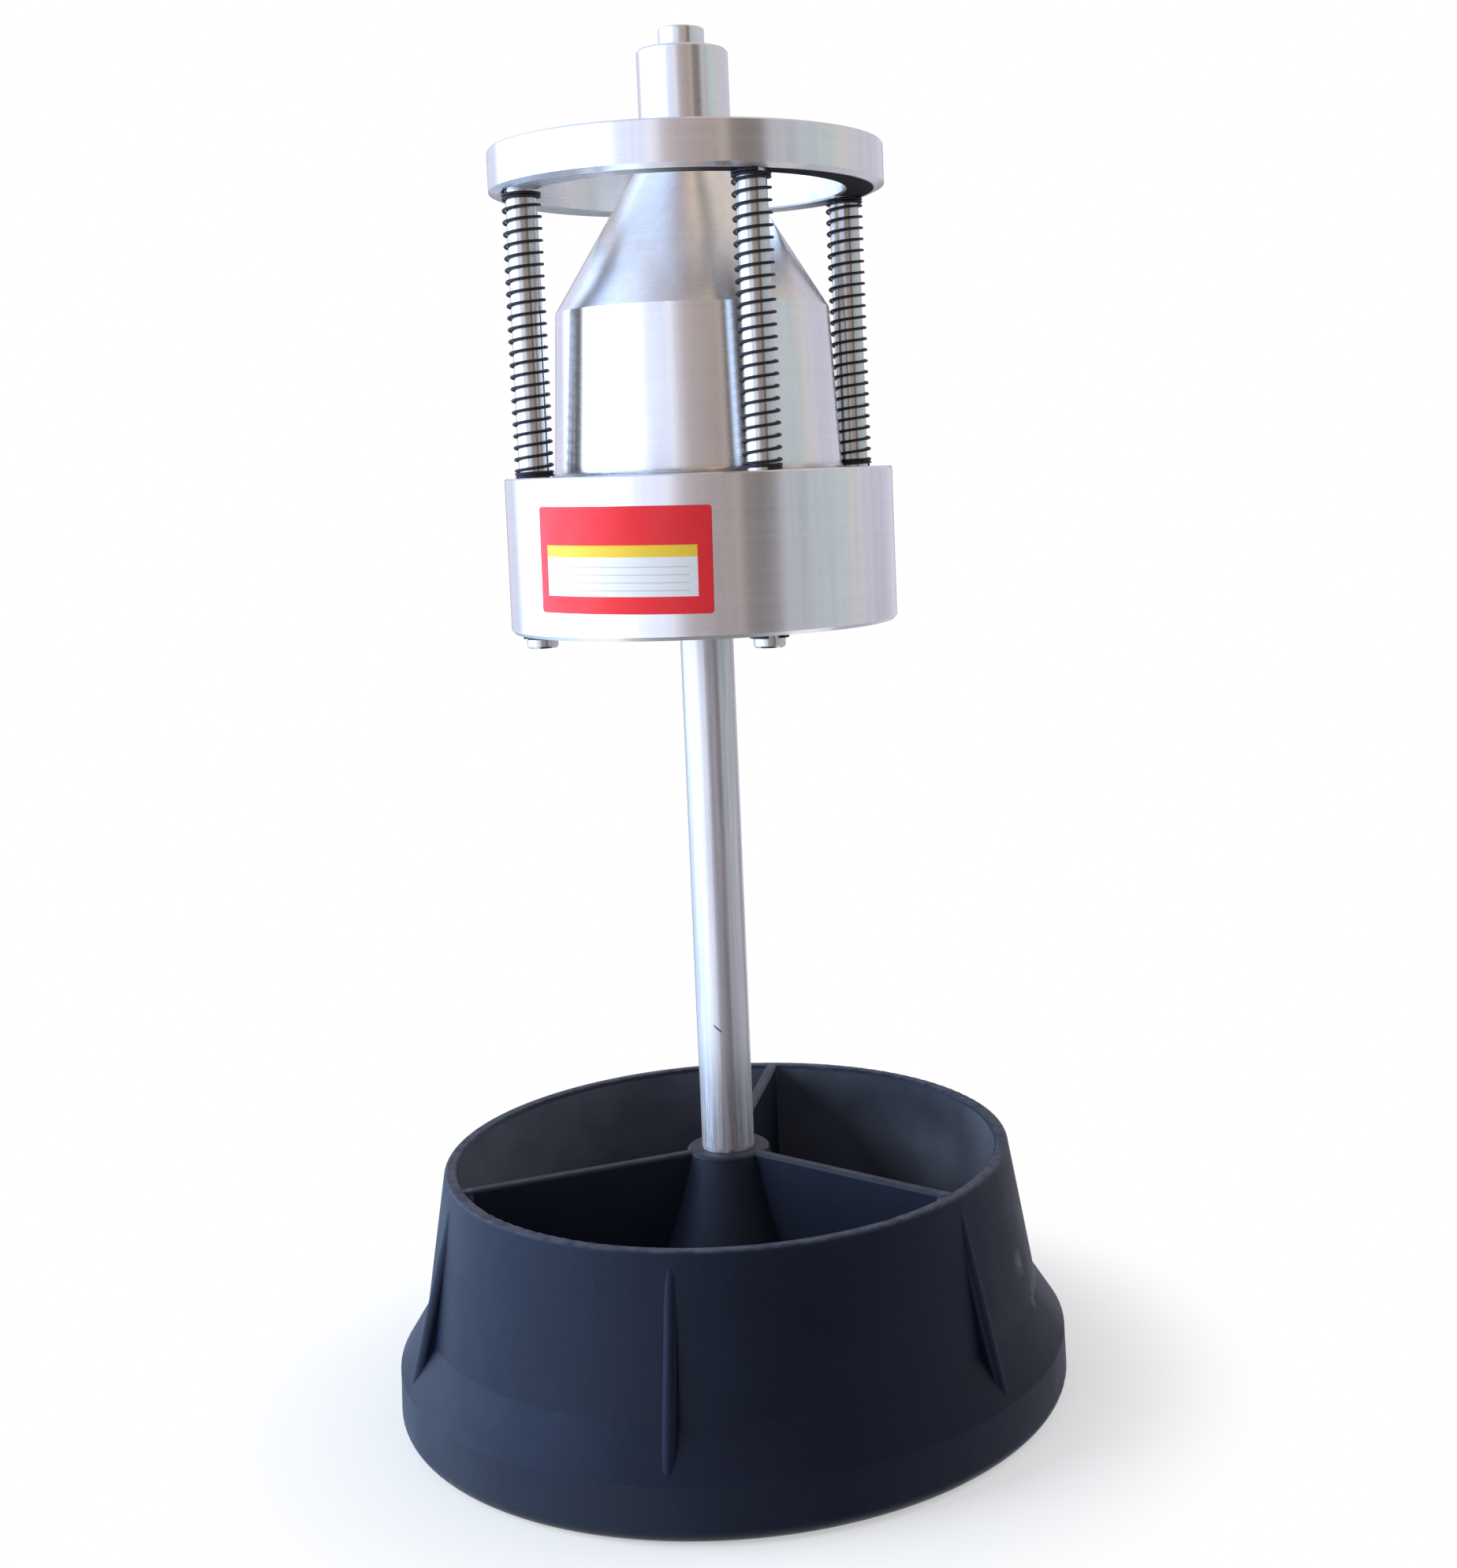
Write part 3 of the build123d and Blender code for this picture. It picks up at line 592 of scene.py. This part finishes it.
nick_distance = add(tree, "VectorMath", nick_way, operation="LENGTH").node.outputs["Value"]
nick_distance = plus(tree, nick_distance, times(tree, noise(tree, point, 1500.0, 3.0), nick_fray))
nick = smooth_step(tree, nick_distance, nick_edge, nick_core)
dirt = smooth_step(tree, height, hub_top + dirt_height, hub_top, 0.0, dirt_share)
dirt = times(tree, dirt, smooth_step(tree, noise(tree, point, 420.0, 4.0), 0.35, 0.65))
dulled = smooth_step(tree, height, dull_from, dull_whole, 1.0, dull_factor)
feed(
    tree,
    shader,
    Base_Color=mixed(tree, most(tree, nick, dirt), fed(shader, "Base Color"), shaft_dirt),
    Metallic=0.80,
    Roughness=times(tree, fed(shader, "Roughness"), dulled),
)
wear("shaft", shaft_finish)

# Pivot post, ball and cup: hardened steel, ground to a fine grey. The head swings on the one ball
# between the post in the tube's top and the cup in the neck.
hardened = steel_finish("hardened_steel", (0.55, 0.55, 0.56), 0.22, 0.3, 0.3)[0]
for node in ("pivot_post", "pivot_ball", "pivot_cup"):
    wear(node, hardened)


# Head: drum, skirt, cone and neck turned from one aluminium casting. The tool has left fine rings
# round the axis, so light spreads along the axis and stays sharp round it. Wiping has left faint
# marks up and down, and the skirt has small nicks and grime round its foot.
def turned_finish(name, bright, dull, roughness):
    """Turned aluminium: the tool's lines are noise by radius and height alone, so they are rings."""
    made, tree, shader = new_finish(name)
    point, (_, _, height) = place_of(tree)
    rings = add(tree, "CombineXYZ", off_axis(tree, point), height, 0.0)
    fine = noise(tree, rings, 2400.0, 2.0, 0.5)
    broad = noise(tree, rings, 430.0, 2.0, 0.5)
    cloud = noise(tree, point, 26.0, 3.0)
    around_axis = add(tree, "VectorMath", (0, 0, 1), point, operation="CROSS_PRODUCT")
    shade = plus(tree, times(tree, broad, 0.6), times(tree, fine, 0.4))
    marks = noise(tree, add(tree, "Mapping", point, None, None, (1.0, 1.0, 0.04)), 230.0, 3.0, 0.6)
    tone = plus(tree, times(tree, shade, 0.45), times(tree, marks, 0.55))
    gloss = plus(tree, shade, times(tree, cloud, 0.5))
    feed(
        tree,
        shader,
        Base_Color=mixed(tree, smooth_step(tree, tone, 0.36, 0.64), (*dull, 1), (*bright, 1)),
        Metallic=1.0,
        Roughness=smooth_step(tree, gloss, 0.5, 1.0, roughness * 0.93, roughness * 1.07),
        Anisotropic=0.93,
        Anisotropic_Rotation=0.25,
        Tangent=add(tree, "VectorMath", in_room(tree, around_axis), operation="NORMALIZE"),
        Normal=bump(tree, shade, 0.00002, 0.05),
    )
    return made, tree, shader


def coated(tree, shader, share, colour):
    """The shader's metal with this share of it under something that isn't metal, in this colour."""
    feed(
        tree,
        shader,
        Base_Color=mixed(tree, share, fed(shader, "Base Color"), colour),
        Metallic=rest_of(tree, share),
    )


bright_aluminium, dull_aluminium, satin = (0.93, 0.925, 0.93), (0.855, 0.85, 0.858), 0.265
raw_edge, skirt_grime = (0.92, 0.92, 0.94, 1), (0.33, 0.30, 0.28, 1)
# Azimuth, radius, height and size
skirt_nicks = (
    (-90.7, 0.0506, 0.3573, 0.0006),
    (-88.9, 0.0506, 0.3588, 0.0004),
    (-90.3, 0.0507, 0.3534, 0.0004),
    (-60.0, 0.0506, 0.3660, 0.0003),
    (-118.0, 0.0505, 0.3490, 0.0003),
)
drum_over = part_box("spring_1")[0].z
grime_outside, grime_whole = 0.0575, 0.0515
grime_top, grime_low = drum_over + 0.0030, drum_over + 0.0002
drum_below, drum_above = drum_over - 0.0004, drum_over - 0.0001
turned, tree, shader = turned_finish("turned_aluminium", bright_aluminium, dull_aluminium, satin)
point, (_, _, height) = place_of(tree)
coated(tree, shader, spots(tree, point, skirt_nicks), raw_edge)
grime = smooth_step(tree, off_axis(tree, point), grime_outside, grime_whole)
grime = times(tree, grime, smooth_step(tree, height, grime_top, grime_low))
grime = times(tree, grime, smooth_step(tree, height, drum_below, drum_above))
grime = times(tree, grime, smooth_step(tree, noise(tree, point, 95.0, 4.0, 0.6), 0.30, 0.70, 0.2, 0.75))
feed(tree, shader, Base_Color=mixed(tree, grime, fed(shader, "Base Color"), skirt_grime))
wear("head_casting", turned)

# Lift ring: turned as the head is. The flat of its underside carries a painted dark reflection, near
# black and thickest at the front between two of the rods.
dark_reflection_azimuth, dark_reflection_near, dark_reflection_far = (math.radians(angle) for angle in (-32, 48, 100))
dark_reflection_inside, dark_reflection_outside = 0.0560, 0.0662
dark_reflection_thin, dark_reflection_thick = 0.25, 0.97
painted_reflection_black = (0.012, 0.010, 0.013, 1)
ring_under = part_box("lift_ring")[0].z
ring_metal, tree, shader = turned_finish("ring_aluminium", bright_aluminium, dull_aluminium, satin)
point, (across, along, height) = place_of(tree)
radius = off_axis(tree, point)
azimuth = add(tree, "Math", along, across, operation="ARCTAN2")
# Painted reflection: the flat of the underside is painted near black, not metal and without gloss, for
# the dark it would reflect.
painted_dark_reflection = smooth_step(tree, height, ring_under + 0.0003, ring_under + 0.0001)
painted_dark_reflection = times(tree, painted_dark_reflection, smooth_step(tree, radius, dark_reflection_outside, dark_reflection_outside - 0.0006))
painted_dark_reflection = times(tree, painted_dark_reflection, smooth_step(tree, radius, dark_reflection_inside, dark_reflection_inside + 0.0003))
off_dark_reflection = gap_to(tree, azimuth, dark_reflection_azimuth)
painted_dark_reflection = times(tree, painted_dark_reflection, smooth_step(tree, off_dark_reflection, dark_reflection_far, dark_reflection_near, dark_reflection_thin, dark_reflection_thick))
coated(tree, shader, painted_dark_reflection, painted_reflection_black)
feed(tree, shader, Specular_IOR_Level=0.0)
wear("lift_ring", ring_metal)

# Level housing: a small turned aluminium cap that stands out of the neck and holds the level's disc
# and vial. It is a little rougher than the head.
wear("level_housing", turned_finish("level_aluminium", (0.92, 0.92, 0.93), (0.86, 0.86, 0.87), 0.30)[0])


# Circlips: sprung steel under black oxide. One holds the cup in the neck and four stop the rods.
def oxide_finish(name, colour, roughness, rubbed, rub_share):
    """Black oxide on steel: near black, with a dull gloss and small patches rubbed bright."""
    made, tree, shader = new_finish(name)
    point, _ = place_of(tree)
    cloud = noise(tree, point, 420.0, 4.0, 0.6)
    worn = smooth_step(tree, cloud, 0.66 - 0.2 * rub_share, 0.78 - 0.2 * rub_share, 0.0, 0.8)
    feed(
        tree,
        shader,
        Base_Color=mixed(tree, worn, (*colour, 1), (*rubbed, 1)),
        Metallic=0.85,
        Roughness=smooth_step(tree, cloud, 0.3, 0.7, roughness, roughness * 1.35),
        Normal=bump(tree, noise(tree, point, 3000.0, 2.0), 0.00001, 0.4),
    )
    return made


oxide = oxide_finish("black_steel", (0.030, 0.030, 0.034), 0.36, (0.12, 0.12, 0.125), 0.3)
for node in ("cup_circlip", "rod_circlips"):
    wear(node, oxide)

# Level: a white disc with a black ring mark, a clear crowned vial over it, yellow-green spirit, and
# the bubble, which rests against the crown in the middle when the head hangs true.
mark_radius, mark_half_width, mark_blur = 0.0028, 0.00015, 0.00003
backing_finish, tree, shader = new_finish("white_plastic")
point, _ = place_of(tree)
off_mark = gap_to(tree, off_axis(tree, point), mark_radius)
mark = smooth_step(tree, off_mark, mark_half_width + mark_blur, mark_half_width)
feed(
    tree,
    shader,
    Base_Color=mixed(tree, mark, (0.86, 0.86, 0.83, 1), (0.02, 0.02, 0.02, 1)),
    Roughness=0.35,
)
wear("level_backing", backing_finish)
vial_finish, tree, shader = new_finish("clear_vial")
point, _ = place_of(tree)
facing = add(tree, "LayerWeight", 0.4).node.outputs["Facing"]
feed(
    tree,
    shader,
    Base_Color=(0.93, 0.97, 0.93, 1),
    Roughness=smooth_step(tree, noise(tree, point, 400.0, 3.0), 0.4, 0.8, 0.03, 0.09),
    IOR=1.49,
    Alpha=smooth_step(tree, facing, 0.45, 1.0, 0.02, 0.7),
)
wear("level_vial", vial_finish)
spirit_finish, tree, shader = new_finish("level_fluid")
point, _ = place_of(tree)
feed(
    tree,
    shader,
    Base_Color=mixed(tree, noise(tree, point, 300.0), (0.66, 0.92, 0.08, 1), (0.74, 0.97, 0.14, 1)),
    Roughness=0.05,
    IOR=1.36,
    Alpha=0.30,
)
wear("level_fluid", spirit_finish)

# The bubble is a ball's grid of turn and rise, its depth less than its radius, and its top half
# flattened to a quarter of that against the crown.
bubble_radius, bubble_depth, bubble_flattened, bubble_gap = 0.0019, 0.0011, 0.25, 0.00008
bubble_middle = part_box("level_fluid")[1].z - bubble_gap - bubble_flattened * bubble_depth
turn, rise = round_grid(48, np.linspace(-np.pi / 2, np.pi / 2, 25))
bubble_points = np.stack(
    [
        bubble_radius * np.cos(rise) * np.cos(turn),
        bubble_radius * np.cos(rise) * np.sin(turn),
        bubble_middle + bubble_depth * np.where(rise > 0, bubble_flattened, 1.0) * np.sin(rise),
    ],
    -1,
)
air_finish, tree, shader = new_finish("bubble_air")
point, _ = place_of(tree)
facing = add(tree, "LayerWeight", 0.4).node.outputs["Facing"]
# Painted shade: the bubble's edge is painted dark where it faces away, for the light its edge bends off.
painted_rim_shade = smooth_step(tree, facing, 0.30, 0.75)
middle = mixed(tree, noise(tree, point, 500.0), (0.93, 0.98, 0.80, 1), (0.97, 1, 0.88, 1))
feed(
    tree,
    shader,
    Base_Color=mixed(tree, painted_rim_shade, middle, (0.10, 0.17, 0.01, 1)),
    Roughness=0.03,
    IOR=1.36,
    Alpha=smooth_step(tree, facing, 0.2, 0.7, 0.45, 0.95),
)
bubble_mesh = sealed(sheet_mesh("level_bubble", bubble_points, wrap_u=True))
bubble = placed("level_bubble", bubble_mesh, air_finish)
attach(bubble, "head")


# Springs: black spring wire, wound right-handed round the rods, with two closed turns at each end.
# They fill the imported coils' space.
def closed_tube(name, path, radius, sides):
    """A round tube along a path: each ring stands square to the path, and both ends are closed.

    Ring k is path[k] + radius (cos s n + sin s b), with b square to the way t and close to Z, and
    n = b cross t.
    """
    way = np.gradient(path, axis=0)
    way /= np.linalg.norm(way, axis=1, keepdims=True)
    side = np.cross(way, (0, 0, 1.0))
    side /= np.linalg.norm(side, axis=1, keepdims=True)
    lift = np.cross(side, way)
    turn = np.linspace(0, 2 * np.pi, sides, endpoint=False)[None, :, None]
    rings = path[:, None] + radius * (np.cos(turn) * side[:, None] + np.sin(turn) * lift[:, None])
    caps = [np.repeat(path[end][None, None], sides, axis=1) for end in (0, -1)]
    return sealed(sheet_mesh(name, np.concatenate([caps[0], rings, caps[1]]), wrap_v=True))


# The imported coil's wire is a little thicker, and both coils have the same mean radius. The pitch
# eases from closed to open over half a turn at each end, and the coil climbs by the pitch added up.
wire_radius, packed_wire_radius = 0.0005, 0.0006
spring_turns, closed_turns, closed_pitch = 27, 2.0, 0.00106
easing_turns, top_clearance = 0.5, 0.00005
steps_a_turn, wire_sides = 40, 12
spring_finish = oxide_finish("spring_oxide", (0.036, 0.033, 0.040), 0.40, (0.16, 0.15, 0.165), 0.15)
coil_room = ring_under - drum_over - 2 * wire_radius - top_clearance
wound = np.linspace(0, spring_turns, spring_turns * steps_a_turn + 1)
from_end = np.minimum(wound, spring_turns - wound)
opening = np.clip((from_end - closed_turns + easing_turns / 2) / easing_turns, 0, 1)
opening = opening * opening * (3 - 2 * opening)
mean_opening = (opening[1:] + opening[:-1]).sum() / 2 / steps_a_turn
open_pitch = closed_pitch + (coil_room - closed_pitch * spring_turns) / mean_opening
pitch = closed_pitch + (open_pitch - closed_pitch) * opening
climb = np.concatenate([[0], np.cumsum((pitch[1:] + pitch[:-1]) / 2 / steps_a_turn)])
for number in range(1, 5):
    low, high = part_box(f"spring_{number}")
    centre = (low + high) / 2
    coil_radius = (high.x - low.x) / 2 - packed_wire_radius
    start = math.atan2(centre.y, centre.x)
    path = np.stack(
        [
            centre.x + coil_radius * np.cos(start + 2 * np.pi * wound),
            centre.y + coil_radius * np.sin(start + 2 * np.pi * wound),
            drum_over + wire_radius + climb,
        ],
        -1,
    )
    spring = placed(
        f"coil_{number}", closed_tube(f"coil_{number}", path, wire_radius, wire_sides), spring_finish
    )
    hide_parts(f"spring_{number}")
    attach(spring, "head")
    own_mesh(spring)

# Guide rods and ring screws: the rods are ground and polished steel, and slide through the drum.
# A countersunk screw holds each of them under the ring.
rod_finish = steel_finish("ground_steel", (0.82, 0.84, 0.82), 0.19, 0.2, 0.25, 0.95)[0]
for number in range(1, 5):
    wear(f"guide_rod_{number}", rod_finish)
wear("ring_screws", zinc)


# Sticker: a printed vinyl label on the front of the drum, plain red with a yellow band and a blank
# panel of ruled lines for a workshop's own notes. It lies on the metal with one corner lifting.
sticker_width, sticker_height = 0.0655, 0.0354
sticker_azimuth, sticker_middle = math.radians(-114.3), 0.3062
sticker_slant = math.radians(-0.8)
sticker_thickness, sticker_corner, sticker_gap = 0.00014, 0.0012, 0.00002
curl_lift, curl_from, pucker_share = 0.00035, 1.72, 0.15
drum_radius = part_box("head_casting")[1].x


def sticker_outline(u, v):
    """Grid shares u, v (-1 to 1) on the sticker's flat, drawn in at the rounded corners.

    Past a corner's centre, the square outline at a distance becomes the circle of that radius.
    """
    x, y = u * sticker_width / 2, v * sticker_height / 2
    over_x = np.clip(np.abs(x) - sticker_width / 2 + sticker_corner, 0, None)
    over_y = np.clip(np.abs(y) - sticker_height / 2 + sticker_corner, 0, None)
    reach = np.maximum(over_x, over_y)
    length = np.hypot(over_x, over_y)
    keep = np.where(length > 0, reach / np.maximum(length, 1e-12), 1.0)
    x = np.where(length > 0, np.sign(x) * (np.abs(x) - over_x + over_x * keep), x)
    y = np.where(length > 0, np.sign(y) * (np.abs(y) - over_y + over_y * keep), y)
    return x, y


def sticker_point(x, y, lift):
    """A point of the flat sticker laid round the drum, this far off the metal.

    Its slanted x is an arc round the axis, its slanted y a height.
    """
    slanted_x = x * math.cos(sticker_slant) - y * math.sin(sticker_slant)
    slanted_y = x * math.sin(sticker_slant) + y * math.cos(sticker_slant)
    turn = sticker_azimuth + slanted_x / drum_radius
    reach = drum_radius + lift
    return np.stack([reach * np.cos(turn), reach * np.sin(turn), sticker_middle + slanted_y], -1)


edge_u = np.concatenate([[-1, -1, -0.99, -0.975], np.linspace(-0.96, 0.96, 49), [0.975, 0.99, 1, 1]])
edge_v = np.concatenate([[-1, -0.985, -0.96], np.linspace(-0.94, 0.94, 25), [0.96, 0.985, 1]])
u, v = np.meshgrid(edge_u, edge_v, indexing="ij")
flat_x, flat_y = sticker_outline(u, v)
# One corner curls up by the square of its share of the way out, and the skin puckers in sine waves
curl = sticker_gap + curl_lift * np.clip((u + v - curl_from) / (2 - curl_from), 0, 1) ** 2
puckers = pucker_share * np.sin(flat_x * 310 + flat_y * 90) * np.sin(flat_y * 420 + 1.3)
thickness = np.full_like(flat_x, sticker_thickness)
thickness[[0, -1]] = 0
skin = sticker_point(flat_x, flat_y, thickness * (1 + puckers) + curl)
under = sticker_point(flat_x, flat_y, curl)
loop = np.concatenate([skin, under[:, ::-1]], axis=1)
sticker_mesh = sheet_mesh("sticker", loop, wrap_v=True)
print_map = sticker_mesh.uv_layers.new(name="print")
share_x = np.concatenate([flat_x, flat_x[:, ::-1]], axis=1) / sticker_width + 0.5
share_y = np.concatenate([flat_y, flat_y[:, ::-1]], axis=1) / sticker_height + 0.5
corner_of = np.empty(len(sticker_mesh.loops), np.int32)
sticker_mesh.loops.foreach_get("vertex_index", corner_of)
print_map.data.foreach_set("uv", np.stack([share_x, share_y], -1).reshape(-1, 2)[corner_of].ravel())


def panel(tree, print_at, left, right, low, high, soft=0.004):
    """1 inside a printed box given in shares of the sticker, 0 outside."""
    across, up, _ = print_at
    inside = smooth_step(tree, across, left - soft, left)
    inside = times(tree, inside, smooth_step(tree, across, right + soft, right))
    inside = times(tree, inside, smooth_step(tree, up, low - soft, low))
    return times(tree, inside, smooth_step(tree, up, high + soft, high))


vinyl_red, faded_red = (0.84, 0.026, 0.036, 1), (0.78, 0.028, 0.034, 1)
vinyl_white, vinyl_yellow = (0.79, 0.78, 0.80, 1), (0.84, 0.57, 0.045, 1)
ruled_grey, ruled_share, ruled_width, ruled_blur = (0.42, 0.42, 0.44, 1), 0.8, 0.006, 0.002
band_left, band_right, panel_low, panel_high, band_high = 0.061, 0.922, 0.164, 0.53, 0.636
vinyl, tree, shader = new_finish("sticker_vinyl")
print_at = add(tree, "SeparateXYZ", add(tree, "UVMap", uv_map="print")).node.outputs
point, _ = place_of(tree)
printed = mixed(tree, noise(tree, point, 90.0, 2.0), vinyl_red, faded_red)
for low_edge, high_edge, colour in (
    (panel_low, panel_high, vinyl_white),
    (panel_high, band_high, vinyl_yellow),
):
    band = panel(tree, print_at, band_left, band_right, low_edge, high_edge)
    printed = mixed(tree, band, printed, colour)
for low_edge in (0.215, 0.288, 0.361, 0.434):
    line = panel(tree, print_at, 0.10, 0.88, low_edge, low_edge + ruled_width, ruled_blur)
    printed = mixed(tree, times(tree, line, ruled_share), printed, ruled_grey)
feed(
    tree,
    shader,
    Base_Color=printed,
    Roughness=smooth_step(tree, noise(tree, point, 160.0, 3.0), 0.35, 0.7, 0.22, 0.34),
    Specular_IOR_Level=0.3,
    Coat_Weight=0.12,
    Coat_Roughness=0.12,
    Normal=bump(tree, noise(tree, point, 700.0, 2.0), 0.00002, 0.3),
)
sticker = placed("sticker", sealed(sticker_mesh), vinyl)
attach(sticker, "head")
